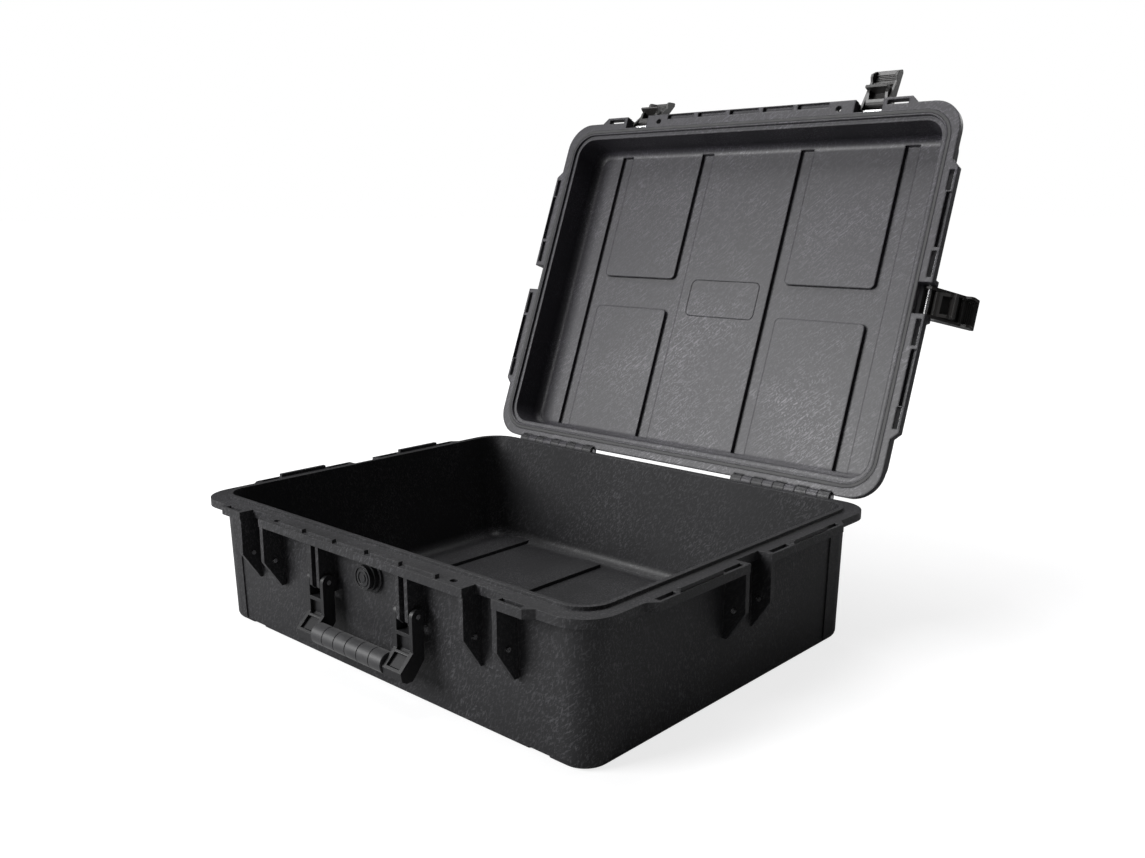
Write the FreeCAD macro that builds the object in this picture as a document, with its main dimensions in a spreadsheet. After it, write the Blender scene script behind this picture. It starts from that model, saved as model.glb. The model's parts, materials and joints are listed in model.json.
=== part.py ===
import FreeCAD, Part
import os
import Sketcher

# Hard protective case with a hinged lid, shown open.
# Millimetres. +X runs along the front from left to right, the front faces -Y,
# +Z is up, and z = 0 is the underside of the base. The lid and its latches are
# drawn in the closed position and then swung open about the hinge.

doc = FreeCAD.newDocument("protective_case")
sheet = doc.addObject("Spreadsheet::Sheet", "Dims")

SIZES = [
    ("case_width", 622, "rim width, left to right"),
    ("case_depth", 487, "rim depth, front to back"),
    ("rim_corner", 38, "outer corner radius of the rim"),
    ("base_height", 150.5, "underside of the base to the top of its rim"),
    ("rim_thick", 9, "thickness of either rim"),
    ("rim_reach", 14.5, "how far the rim stands out from the side walls"),
    ("rim_reach_front", 16, "how far the rim stands out from the front wall"),
    ("wall", 6.5, "side wall thickness of the base"),
    ("floor", 5, "floor thickness of the base"),
    ("wall_draft", 4.5, "how far the base walls lean in at the bottom"),
    ("tub_corner", 32, "outer corner radius of the base"),
    ("bottom_round", 9, "round along the bottom edge"),
    ("floor_round", 14, "round between floor and wall inside"),
    ("panel_recess", 1.5, "depth of the flat wall panels between the corner pads"),
    ("panel_width", 506, "width of the front panel between corner pads"),
    ("panel_depth", 352, "width of the end panel between corner pads"),
    ("tongue_thick", 5, "thickness of the sealing tongue"),
    ("tongue_high", 3.5, "height of the sealing tongue above the rim"),
    ("rim_gap", 0.5, "gap between the two rims when closed"),
    ("lid_rise", 55, "top of the lid above the closed rim face"),
    ("lid_skin", 4, "thickness of the lid's top"),
    ("lid_draft", 3, "how far the lid walls lean in at the top"),
    ("lid_round", 11, "round inside the lid"),
    ("lid_outer_round", 10, "round along the outside top edge of the lid"),
    ("rib_high", 5, "height of the stacking ribs on the lid"),
    ("rib_wide", 26, "width of a stacking rib"),
    ("rib_wall", 3, "plastic on each side of the channel inside a rib"),
    ("panel_corner", 7, "corner radius of the four panels inside the lid"),
    ("outer_rib_at", 231, "distance of the outer stacking ribs from the middle"),
    ("inner_rib_at", 81.5, "distance of the inner stacking ribs from the middle"),
    ("cross_rib_wide", 52, "width of the cross ribs"),
    ("groove_clear", 3, "extra width of the grooves that take the ribs"),
    ("gasket_wide", 4, "width of the gasket groove"),
    ("gasket_deep", 3, "depth of the gasket groove"),
    ("gasket_land", 3, "plastic between gasket groove and tongue groove"),
    ("beam_reach", 8.5, "how far the beams stand out from the rim"),
    ("block_length", 44, "length of a locating block on the front beam"),
    ("block_pitch", 53.5, "spacing of the locating blocks"),
    ("block_wide", 5, "width of a locating block"),
    ("block_high", 4, "height of a locating block"),
    ("padlock_at", 145, "distance of the padlock holes from the middle"),
    ("padlock_bore", 8, "diameter of a padlock hole"),
    ("latch_at", 186, "distance of the front latches from the middle"),
    ("latch_gap", 38, "clear width between two latch ribs"),
    ("latch_rib", 6, "thickness of a latch rib"),
    ("latch_notch", 8.5, "depth of the rim notch between latch ribs"),
    ("rib_bend", 101, "height where a latch rib starts to slope in"),
    ("rib_tip", 69.5, "height where a latch rib meets the wall"),
    ("catch_height", 101, "height of the catch pins"),
    ("catch_in", 5.5, "distance of the catch pins inside the rim edge"),
    ("catch_pin", 5, "diameter of a catch pin"),
    ("catch_proud", 1.7, "how far a catch pin stands out on each side"),
    ("latch_pin", 5, "diameter of the lever pin"),
    ("hook_pin", 4, "diameter of the hook pin"),
    ("run_clear", 0.06, "radial running clearance on the pins"),
    ("lever_pin_up", 17.5, "lever pin above the base rim"),
    ("hook_pin_up", 6.5, "hook pin above the base rim"),
    ("lever_long", 62, "lever pin to the end of the lever"),
    ("lever_cheek", 3.2, "thickness of a lever cheek"),
    ("lever_plate", 3, "thickness of the lever plate"),
    ("handle_at", 73, "distance of a handle arm from the middle"),
    ("arm_wide", 29.2, "width of a handle arm"),
    ("tine_thick", 5, "thickness of a handle tine"),
    ("handle_pivot_height", 99, "height of the handle pins"),
    ("handle_pivot_in", 5.5, "distance of the handle pins inside the rim edge"),
    ("handle_pin", 5, "diameter of a handle pin"),
    ("grip_height", 48, "height of the grip's middle when it hangs"),
    ("grip_out", 9.5, "distance of the grip's middle outside the rim edge"),
    ("grip_diameter", 22, "diameter of the rubber grip"),
    ("grip_core", 11, "diameter of the bar inside the grip"),
    ("valve_height", 118, "height of the pressure valve"),
    ("valve_diameter", 30, "diameter of the valve"),
    ("valve_stem", 16, "diameter of the valve stem"),
    ("hinge_inner", 117, "near end of each hinge from the middle"),
    ("hinge_length", 138, "length of each hinge"),
    ("hinge_out", 3.5, "hinge axis outside the rim edge"),
    ("knuckle", 13, "diameter of a hinge knuckle"),
    ("hinge_pin", 6, "diameter of a hinge pin"),
    ("knuckle_gap", 0.5, "gap between neighbouring knuckles"),
    ("open_angle", 110.9, "how far the lid stands open, degrees"),
]
for row, (alias, value, meaning) in enumerate(SIZES, start=1):
    sheet.set("A%d" % row, meaning)
    sheet.set("B%d" % row, str(value))
    sheet.setAlias("B%d" % row, alias)
doc.recompute()


class Size:
    """A length with its formula in the sheet and its value now."""

    def __init__(self, formula, value):
        self.formula = formula
        self.value = value

    def join(self, sign, other, value):
        return Size("(%s %s %s)" % (self.formula, sign, other.formula), value)

    def __add__(self, other):
        other = size(other)
        return self.join("+", other, self.value + other.value)

    def __sub__(self, other):
        other = size(other)
        return self.join("-", other, self.value - other.value)

    def __mul__(self, other):
        other = size(other)
        return self.join("*", other, self.value * other.value)

    def __truediv__(self, other):
        other = size(other)
        return self.join("/", other, self.value / other.value)

    def __radd__(self, other):
        return size(other) + self

    def __rsub__(self, other):
        return size(other) - self

    def __rmul__(self, other):
        return size(other) * self

    def __neg__(self):
        return size(0) - self


def size(number):
    if isinstance(number, Size):
        return number
    return Size("(%s)" % repr(float(number)), float(number))


class Sheet:
    def __getattr__(self, alias):
        return Size("Dims." + alias, float(sheet.get(alias)))


D = Sheet()

# --- places worked out from the sheet -----------------------------------------

RIM_X = D.case_width / 2
RIM_Y = D.case_depth / 2
RIM_TOP = D.base_height
RIM_LOW = RIM_TOP - D.rim_thick
TUB_X = RIM_X - D.rim_reach
TUB_Y = RIM_Y - D.rim_reach_front
CAVITY_X = TUB_X - D.wall
CAVITY_Y = TUB_Y - D.wall
CAVITY_CORNER = D.tub_corner - D.wall
TONGUE_TOP = RIM_TOP + D.tongue_high
LID_FACE = RIM_TOP + D.rim_gap
LID_RIM_TOP = LID_FACE + D.rim_thick
LID_TOP = LID_FACE + D.lid_rise
LID_CEILING = LID_TOP - D.lid_skin
BEAM_Y = RIM_Y + D.beam_reach
BEAM_X = RIM_X + D.beam_reach
LATCH_HALF = D.latch_gap / 2
RIB_END = LATCH_HALF + D.latch_rib
HINGE_Y = RIM_Y + D.hinge_out
HINGE_Z = RIM_TOP + D.rim_gap / 2
LEVER_PIN_Z = RIM_TOP + D.lever_pin_up
HOOK_PIN_Z = RIM_TOP + D.hook_pin_up
HANDLE_PIN_Y = -(RIM_Y - D.handle_pivot_in)
GRIP_Y = -(RIM_Y + D.grip_out)
VALVE_SEAT = -(TUB_Y + 0.5)
VALVE_INNER = -(CAVITY_Y - 4)
SIDES = (-1, 1)


# --- drawing helpers -------------------------------------------------------------


def new_body(label):
    body = doc.addObject("PartDesign::Body", label)
    body.Label = label
    return body


def new_sketch(body, name, role, offset):
    sketch = body.newObject("Sketcher::SketchObject", name)
    plane = [part for part in body.Origin.OriginFeatures if part.Role == role][0]
    sketch.AttachmentSupport = [(plane, "")]
    sketch.MapMode = "FlatFace"
    sketch.setExpression("AttachmentOffset.Base.z", size(offset).formula)
    return sketch


def pin_point(sketch, geometry, place, point):
    """Fix one point of a sketch at two sizes from the origin."""
    for kind, distance in zip(("DistanceX", "DistanceY"), point):
        distance = size(distance)
        number = sketch.addConstraint(
            Sketcher.Constraint(kind, -1, 1, geometry, place, distance.value)
        )
        sketch.setExpression("Constraints[%d]" % number, distance.formula)


def draw_outline(sketch, points):
    first = sketch.GeometryCount
    corners = [FreeCAD.Vector(size(u).value, size(v).value, 0) for u, v in points]
    count = len(corners)
    for i in range(count):
        line = Part.LineSegment(corners[i], corners[(i + 1) % count])
        sketch.addGeometry(line, False)
    for i in range(count):
        after = first + (i + 1) % count
        sketch.addConstraint(Sketcher.Constraint("Coincident", first + i, 2, after, 1))
        pin_point(sketch, first + i, 1, points[i])


def draw_circle(sketch, centre, radius):
    radius = size(radius)
    middle = FreeCAD.Vector(size(centre[0]).value, size(centre[1]).value, 0)
    circle = Part.Circle(middle, FreeCAD.Vector(0, 0, 1), radius.value)
    number = sketch.addGeometry(circle, False)
    pin_point(sketch, number, 3, centre)
    bound = sketch.addConstraint(Sketcher.Constraint("Radius", number, radius.value))
    sketch.setExpression("Constraints[%d]" % bound, radius.formula)


def draw_round_box(sketch, half_x, half_y, corner):
    """A box with round corners, centred on the origin."""
    half_x, half_y, corner = size(half_x), size(half_y), size(corner)
    flat_x = half_x - corner
    flat_y = half_y - corner
    first = sketch.GeometryCount
    for quarter, (sx, sy) in enumerate(((1, 1), (-1, 1), (-1, -1), (1, -1))):
        middle = FreeCAD.Vector(sx * flat_x.value, sy * flat_y.value, 0)
        circle = Part.Circle(middle, FreeCAD.Vector(0, 0, 1), corner.value)
        start = quarter * 1.5707963267948966
        arc = Part.ArcOfCircle(circle, start, start + 1.5707963267948966)
        sketch.addGeometry(arc, False)
        pin_point(sketch, first + quarter, 3, (sx * flat_x, sy * flat_y))
    for quarter in range(4):
        arc, after = first + quarter, first + (quarter + 1) % 4
        start = sketch.getPoint(arc, 2)
        end = sketch.getPoint(after, 1)
        line = sketch.addGeometry(Part.LineSegment(start, end), False)
        sketch.addConstraint(Sketcher.Constraint("Tangent", arc, 2, line, 1))
        sketch.addConstraint(Sketcher.Constraint("Tangent", line, 2, after, 1))
        if quarter > 0:
            sketch.addConstraint(Sketcher.Constraint("Equal", first, arc))
    bound = sketch.addConstraint(Sketcher.Constraint("Radius", first, corner.value))
    sketch.setExpression("Constraints[%d]" % bound, corner.formula)


def extrude(body, name, role, span, draw, cut=False):
    """Pad or pocket a drawing between two distances along its plane's normal."""
    low, high = size(span[0]), size(span[1])
    sketch = new_sketch(body, name + "_sketch", role, high if cut else low)
    draw(sketch)
    kind = "PartDesign::Pocket" if cut else "PartDesign::Pad"
    feature = body.newObject(kind, name)
    feature.Profile = sketch
    feature.setExpression("Length", (high - low).formula)
    sketch.Visibility = False
    return feature


def box(x, y):
    """The four corners of a rectangle between two distances each way."""
    return [(x[0], y[0]), (x[1], y[0]), (x[1], y[1]), (x[0], y[1])]


def plates(body, name, outlines, z, cut=False):
    """Outlines in X and Y, between two heights."""
    def draw(sketch):
        for outline in outlines:
            draw_outline(sketch, outline)
    return extrude(body, name, "XY_Plane", z, draw, cut)


def profiles_x(body, name, outlines, x, cut=False):
    """Outlines in Y and Z, run along X."""
    def draw(sketch):
        for outline in outlines:
            draw_outline(sketch, outline)
    return extrude(body, name, "YZ_Plane", x, draw, cut)


def profiles_y(body, name, outlines, y, cut=False):
    """Outlines in X and Z, run along Y."""
    def draw(sketch):
        for outline in outlines:
            draw_outline(sketch, outline)
    span = (-size(y[1]), -size(y[0]))
    return extrude(body, name, "XZ_Plane", span, draw, cut)


def rods_x(body, name, centres, radius, x, cut=False):
    """Round bars along X, each centred at a Y and a Z."""
    def draw(sketch):
        for centre in centres:
            draw_circle(sketch, centre, radius)
    return extrude(body, name, "YZ_Plane", x, draw, cut)


def rods_y(body, name, centres, radius, y, cut=False):
    """Round bars along Y, each centred at an X and a Z."""
    def draw(sketch):
        for centre in centres:
            draw_circle(sketch, centre, radius)
    span = (-size(y[1]), -size(y[0]))
    return extrude(body, name, "XZ_Plane", span, draw, cut)


def rods_z(body, name, centres, radius, z, cut=False):
    """Round bars along Z, each centred at an X and a Y."""
    def draw(sketch):
        for centre in centres:
            draw_circle(sketch, centre, radius)
    return extrude(body, name, "XY_Plane", z, draw, cut)


def round_slab(body, name, half, corner, z, cut=False):
    """A round-cornered box between two heights."""
    def draw(sketch):
        draw_round_box(sketch, half[0], half[1], corner)
    return extrude(body, name, "XY_Plane", z, draw, cut)


def ring_slab(body, name, outer, inner, corner, z, cut=False):
    """A round-cornered frame: outer and inner are half sizes in X and Y."""
    def draw(sketch):
        draw_round_box(sketch, outer[0], outer[1], corner + (outer[0] - inner[0]))
        draw_round_box(sketch, inner[0], inner[1], corner)
    return extrude(body, name, "XY_Plane", z, draw, cut)


def drafted_slab(body, name, half, corner, z, lean, cut=False):
    """A round-cornered box whose walls lean out by a distance over its height.

    The half sizes are those of the end it starts from: the low end of solid
    boxes and the high end of cuts."""
    feature = round_slab(body, name, half, corner, z, cut)
    height = size(z[1]) - size(z[0])
    feature.setExpression("TaperAngle", "atan(%s / %s)" % (lean.formula, height.formula))
    return feature


def round_edges(body, name, radius, chosen):
    """Round the edges of the body so far that the test picks."""
    doc.recompute()
    before = body.Tip
    edges = []
    for number, edge in enumerate(before.Shape.Edges, start=1):
        if chosen(edge.BoundBox):
            edges.append("Edge%d" % number)
    fillet = body.newObject("PartDesign::Fillet", name)
    fillet.Base = (before, edges)
    fillet.setExpression("Radius", size(radius).formula)
    return fillet


def level_at(height):
    """A test for edges that lie flat at one height."""
    height = size(height).value
    return lambda box: abs(box.ZMin - height) < 0.01 and abs(box.ZMax - height) < 0.01


# --- base --------------------------------------------------------------------------


def ordered(one, other):
    return (one, other) if size(one).value < size(other).value else (other, one)


def span_at(centre, half):
    """The two ends of a length centred on a place."""
    return (centre - half, centre + half)


def wall_panels(body):
    """Flat panels set back a little between the round corner pads."""
    front, end = [], []
    for side in SIDES:
        low = side * (TUB_Y - D.wall_draft - D.panel_recess)
        high = side * (TUB_Y - D.panel_recess)
        clear = side * 6
        front.append([(low, 0), (high, RIM_LOW), (high + clear, RIM_LOW), (low + clear, 0)])
        low = side * (TUB_X - D.wall_draft - D.panel_recess)
        high = side * (TUB_X - D.panel_recess)
        clear = side * 10
        end.append([(low, 0), (high, RIM_LOW), (high + clear, RIM_LOW), (low + clear, 0)])
    profiles_x(body, "front_panels", front, span_at(0, D.panel_width / 2), cut=True)
    profiles_y(body, "end_panels", end, span_at(0, D.panel_depth / 2), cut=True)


def latch_brackets(body, outline, z, name):
    """Four pairs of ribs that carry the latches, and the rim cut back between them.

    The outline is (distance outside the rim edge, height)."""
    front = [(-(RIM_Y + out), level) for out, level in outline]
    for side in SIDES:
        x = span_at(side * D.latch_at, RIB_END)
        profiles_x(body, "%s_front_%d" % (name, side + 1), [front], x)
    ends = []
    for side in SIDES:
        ends.append([(side * (RIM_X + out), level) for out, level in outline])
    profiles_y(body, name + "_end", ends, span_at(0, RIB_END))
    gaps, notches = [], []
    for side in SIDES:
        across = span_at(side * D.latch_at, LATCH_HALF)
        gaps.append(box(across, (-(RIM_Y + 20), -TUB_Y)))
        notches.append(box(across, (-(RIM_Y + 20), -(RIM_Y - D.latch_notch))))
        across = span_at(0, LATCH_HALF)
        out = side * (RIM_X + 20)
        gaps.append(box(ordered(side * TUB_X, out), across))
        notches.append(box(ordered(side * (RIM_X - D.latch_notch), out), across))
    low, rim_low, rim_high, high = z
    if size(low).value < size(rim_low).value:
        plates(body, name + "_gap_below", gaps, (low, rim_low), cut=True)
    if size(high).value > size(rim_high).value:
        plates(body, name + "_gap_above", gaps, (rim_high, high), cut=True)
    plates(body, name + "_notch", notches, (rim_low - 1, rim_high + 1), cut=True)


FRONT_BEAM_END = D.latch_at - LATCH_HALF
LUG_START = D.latch_at + LATCH_HALF
LUG_END = LUG_START + 38
END_BEAM_START = LATCH_HALF
END_BEAM_END = END_BEAM_START + 141


def rim_beams(body, z, name):
    """The beams and lugs that stand out from the front and end rims."""
    inner = -(RIM_Y - 3)
    outlines = [box((-FRONT_BEAM_END, FRONT_BEAM_END), (-BEAM_Y, inner))]
    for side in SIDES:
        start, end = side * LUG_START, side * LUG_END
        far = side * (LUG_END + D.beam_reach)
        lug = [(start, inner), (start, -BEAM_Y), (end, -BEAM_Y), (far, -RIM_Y)]
        outlines.append(lug + [(far, inner)])
        for back in SIDES:
            edge = side * (RIM_X - 3)
            start, end = back * END_BEAM_START, back * END_BEAM_END
            far = back * (END_BEAM_END + D.beam_reach)
            beam = [(edge, start), (side * BEAM_X, start), (side * BEAM_X, end)]
            outlines.append(beam + [(side * RIM_X, far), (edge, far)])
    plates(body, name, outlines, z)


def beam_slots(body, z, name):
    """Slots through the lugs and the ends of the side beams."""
    y = (-(BEAM_Y - 3), -(RIM_Y - 0.5))
    slots = []
    for side in SIDES:
        slots.append(box(ordered(side * (LUG_START + 6), side * (LUG_START + 34)), y))
        x = ordered(side * (RIM_X - 0.5), side * (BEAM_X - 3))
        for back in SIDES:
            for near, far in ((6, 38), (111, 137)):
                start = back * (END_BEAM_START + near)
                end = back * (END_BEAM_START + far)
                slots.append(box(x, ordered(start, end)))
    plates(body, name, slots, z, cut=True)


def locating_blocks(body, z, clear, name, cut=False):
    """The row of blocks on the base beams, or the pockets that take them."""
    wide = D.block_wide / 2 + clear
    row = -(RIM_Y + D.beam_reach / 2)
    blocks = []
    for number in range(-2, 3):
        x = span_at(number * D.block_pitch, D.block_length / 2 + clear)
        blocks.append(box(x, span_at(row, wide)))
    for side in SIDES:
        x = span_at(side * (RIM_X + D.beam_reach / 2), wide)
        for back in SIDES:
            blocks.append(box(x, span_at(back * (END_BEAM_START + 76), 33 + clear)))
    plates(body, name, blocks, z, cut)


def padlock_holes(body, z, name):
    centres = [(side * D.padlock_at, -(RIM_Y - 2)) for side in SIDES]
    rods_z(body, name, centres, D.padlock_bore / 2, z, cut=True)


KNUCKLES = 9
KNUCKLE_PITCH = D.hinge_length / KNUCKLES


def hinge(body, heel, taken, bore, z, name):
    """Both hinges: a barrel on a heel, cut away where the other side's knuckles go."""
    near, far = D.hinge_inner, D.hinge_inner + D.hinge_length
    for side in SIDES:
        x = ordered(side * near, side * far)
        profiles_x(body, "%s_heel_%d" % (name, side + 1), [heel], x)
        rods_x(body, "%s_barrel_%d" % (name, side + 1), [(HINGE_Y, HINGE_Z)],
               D.knuckle / 2, x)
    gaps = []
    y = (HINGE_Y - D.knuckle / 2 - 0.7, HINGE_Y + D.knuckle)
    for side in SIDES:
        for number in range(taken, KNUCKLES, 2):
            start = near + number * KNUCKLE_PITCH - D.knuckle_gap / 2
            end = start + KNUCKLE_PITCH + D.knuckle_gap
            gaps.append(box(ordered(side * start, side * end), y))
    plates(body, name + "_gaps", gaps, z, cut=True)
    rods_x(body, name + "_bore", [(HINGE_Y, HINGE_Z)], bore, span_at(0, far + 2), cut=True)


HANDLE_RIB = 5
HANDLE_RIB_AT = D.arm_wide / 2 - D.tine_thick - 0.6 - HANDLE_RIB / 2


def handle_ribs(body):
    """Two ribs inside each forked handle arm carry its pin."""
    inner = -(TUB_Y - 4)
    front = -(RIM_Y + 2.5)
    outline = [(inner, RIM_LOW + 1), (front, RIM_LOW + 1)]
    outline += [(front, D.handle_pivot_height - 5)]
    outline += [(front + 5, D.handle_pivot_height - 10)]
    outline += [(inner, D.handle_pivot_height - 14)]
    for side in SIDES:
        for edge in SIDES:
            middle = side * D.handle_at + edge * HANDLE_RIB_AT
            label = "handle_rib_%d%d" % (side + 1, edge + 1)
            profiles_x(body, label, [outline], span_at(middle, HANDLE_RIB / 2))
    centre = (HANDLE_PIN_Y, D.handle_pivot_height)
    across = D.handle_at + D.arm_wide / 2
    rods_x(body, "handle_bore", [centre], D.handle_pin / 2, span_at(0, across), cut=True)


def rib_pattern(body, name, half, long_half, short_half, cross_half, z, cut=False):
    """Four long bands from front to back, the outer two joined to the inner two."""
    bands, crosses = [], []
    for side in SIDES:
        bands.append(box(span_at(side * D.outer_rib_at, half), (-long_half, long_half)))
        bands.append(box(span_at(side * D.inner_rib_at, half), (-short_half, short_half)))
        x = ordered(side * D.inner_rib_at, side * D.outer_rib_at)
        crosses.append(box(x, (-cross_half, cross_half)))
    plates(body, name + "_bands", bands, z, cut)
    plates(body, name + "_crosses", crosses, z, cut)


def make_base_shell():
    body = new_body("base_shell")
    lean = D.wall_draft
    half = (TUB_X - lean, TUB_Y - lean)
    drafted_slab(body, "tub", half, D.tub_corner - lean, (0, RIM_LOW), lean)
    round_edges(body, "bottom_edge", D.bottom_round, level_at(0))
    wall_panels(body)
    round_slab(body, "rim", (RIM_X, RIM_Y), D.rim_corner, (RIM_LOW, RIM_TOP))
    tongue = (CAVITY_X + D.tongue_thick, CAVITY_Y + D.tongue_thick)
    corner = CAVITY_CORNER + D.tongue_thick
    round_slab(body, "tongue", tongue, corner, (RIM_LOW + 1, TONGUE_TOP))
    cavity = (CAVITY_X, CAVITY_Y)
    z = (D.floor, TONGUE_TOP)
    drafted_slab(body, "cavity", cavity, CAVITY_CORNER, z, -lean, cut=True)
    round_edges(body, "floor_edge", D.floor_round, level_at(D.floor))
    half = (D.rib_wide + D.groove_clear) / 2
    cross = (D.cross_rib_wide + D.groove_clear) / 2
    short = TUB_Y - D.wall_draft - 28
    deep = D.rib_high - 0.5
    above = (D.floor - 1, D.floor + deep)
    rib_pattern(body, "floor_rise", half + D.floor, CAVITY_Y - D.wall_draft - 2,
                short + D.floor, cross + D.floor, above)
    rib_pattern(body, "groove", half, TUB_Y, short, cross, (0, deep), cut=True)
    rim_beams(body, (RIM_LOW, RIM_TOP), "beams")
    locating_blocks(body, (RIM_TOP - 1, RIM_TOP + D.block_high), 0, "blocks")
    beam_slots(body, (RIM_LOW - 1, RIM_TOP + 1), "slots")
    padlock_holes(body, (RIM_LOW - 1, RIM_TOP + 1), "padlock_holes")
    inside = -(D.rim_reach + D.wall - 2)
    outline = [(inside, RIM_TOP - 1), (D.beam_reach - 1, RIM_TOP - 1)]
    outline += [(D.beam_reach - 1, D.rib_bend)]
    outline += [(-D.rim_reach + 1, D.rib_tip), (inside, D.rib_tip)]
    latch_brackets(body, outline, (D.rib_tip - 1, RIM_LOW, RIM_TOP, RIM_TOP), "latch_rib")
    handle_ribs(body)
    seat = (0, D.valve_height)
    rods_y(body, "valve_seat", [seat], D.valve_diameter / 2 + 3, (VALVE_SEAT, -CAVITY_Y))
    rods_y(body, "valve_boss", [seat], D.valve_diameter / 2, (-TUB_Y + 3, VALVE_INNER))
    hole = (VALVE_SEAT - 1, VALVE_INNER + 1)
    rods_y(body, "valve_hole", [seat], D.valve_stem / 2, hole, cut=True)
    heel = [(RIM_Y - 4, RIM_LOW), (HINGE_Y + 1, RIM_LOW)]
    heel += [(HINGE_Y + D.knuckle / 2 - 0.3, HINGE_Z), (RIM_Y - 4, RIM_TOP)]
    gap = (RIM_LOW - 1, RIM_TOP + D.knuckle)
    hinge(body, heel, 1, D.hinge_pin / 2, gap, "hinge")
    catch_bores(body)
    return body


# --- fixed small parts of the base --------------------------------------------------


def catch_places():
    """The place and direction of each catch pin: one through every latch rib."""
    places = []
    inside = D.catch_in
    for side in SIDES:
        for edge in SIDES:
            out = edge * (LATCH_HALF + D.latch_rib / 2)
            places.append(("x", side * D.latch_at + out, -(RIM_Y - inside)))
            places.append(("y", side * (RIM_X - inside), out))
    return places


def catch_bores(body):
    for side in SIDES:
        centre = (-(RIM_Y - D.catch_in), D.catch_height)
        x = span_at(side * D.latch_at, RIB_END + 0.5)
        rods_x(body, "catch_bore_%d" % (side + 1), [centre], D.catch_pin / 2, x, cut=True)
    centres = [(side * (RIM_X - D.catch_in), D.catch_height) for side in SIDES]
    y = span_at(0, RIB_END + 0.5)
    rods_y(body, "catch_bore_ends", centres, D.catch_pin / 2, y, cut=True)


def make_pins(label, places, radius, half, height):
    """Round pins across X or Y, joined as one set of separate solids."""
    pins = []
    for number, (axis, x, y) in enumerate(places):
        pin = doc.addObject("Part::Cylinder", "%s_%d" % (label, number))
        turn = FreeCAD.Rotation(FreeCAD.Vector(0, 1, 0), 90)
        if axis == "y":
            turn = FreeCAD.Rotation(FreeCAD.Vector(1, 0, 0), -90)
        start = (x - half, y) if axis == "x" else (x, y - half)
        place = [size(value).value for value in start]
        at = FreeCAD.Vector(place[0], place[1], size(height).value)
        pin.Placement = FreeCAD.Placement(at, turn)
        pin.setExpression("Placement.Base.x", size(start[0]).formula)
        pin.setExpression("Placement.Base.y", size(start[1]).formula)
        pin.setExpression("Placement.Base.z", size(height).formula)
        pin.setExpression("Radius", size(radius).formula)
        pin.setExpression("Height", (2 * size(half)).formula)
        pins.append(pin)
    group = doc.addObject("Part::Compound", label)
    group.Label = label
    group.Links = pins
    return group


def make_hinge_pin(side, label):
    body = new_body(label)
    near = D.hinge_inner - 1
    far = D.hinge_inner + D.hinge_length + 1
    x = ordered(side * near, side * far)
    rods_x(body, "pin", [(HINGE_Y, HINGE_Z)], D.hinge_pin / 2, x)
    return body


# --- lid ----------------------------------------------------------------------------


GASKET_INNER_X = CAVITY_X + D.tongue_thick + D.gasket_land
GASKET_INNER_Y = CAVITY_Y + D.tongue_thick + D.gasket_land
GASKET_CORNER = CAVITY_CORNER + D.tongue_thick + D.gasket_land


def channel_corner(half, cross):
    """A test for the upright edges where the cross channels meet the long ones."""
    half, cross = size(half).value, size(cross).value
    places = [size(D.inner_rib_at).value + half, size(D.outer_rib_at).value - half]

    def test(edge):
        across, along = abs(edge.XMin + edge.XMax) / 2, abs(edge.YMin + edge.YMax) / 2
        upright = edge.XLength + edge.YLength < 0.01 and edge.ZLength > 0.5
        near = min(abs(across - place) for place in places)
        return upright and near < 0.05 and abs(along - cross) < 0.05

    return test


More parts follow.
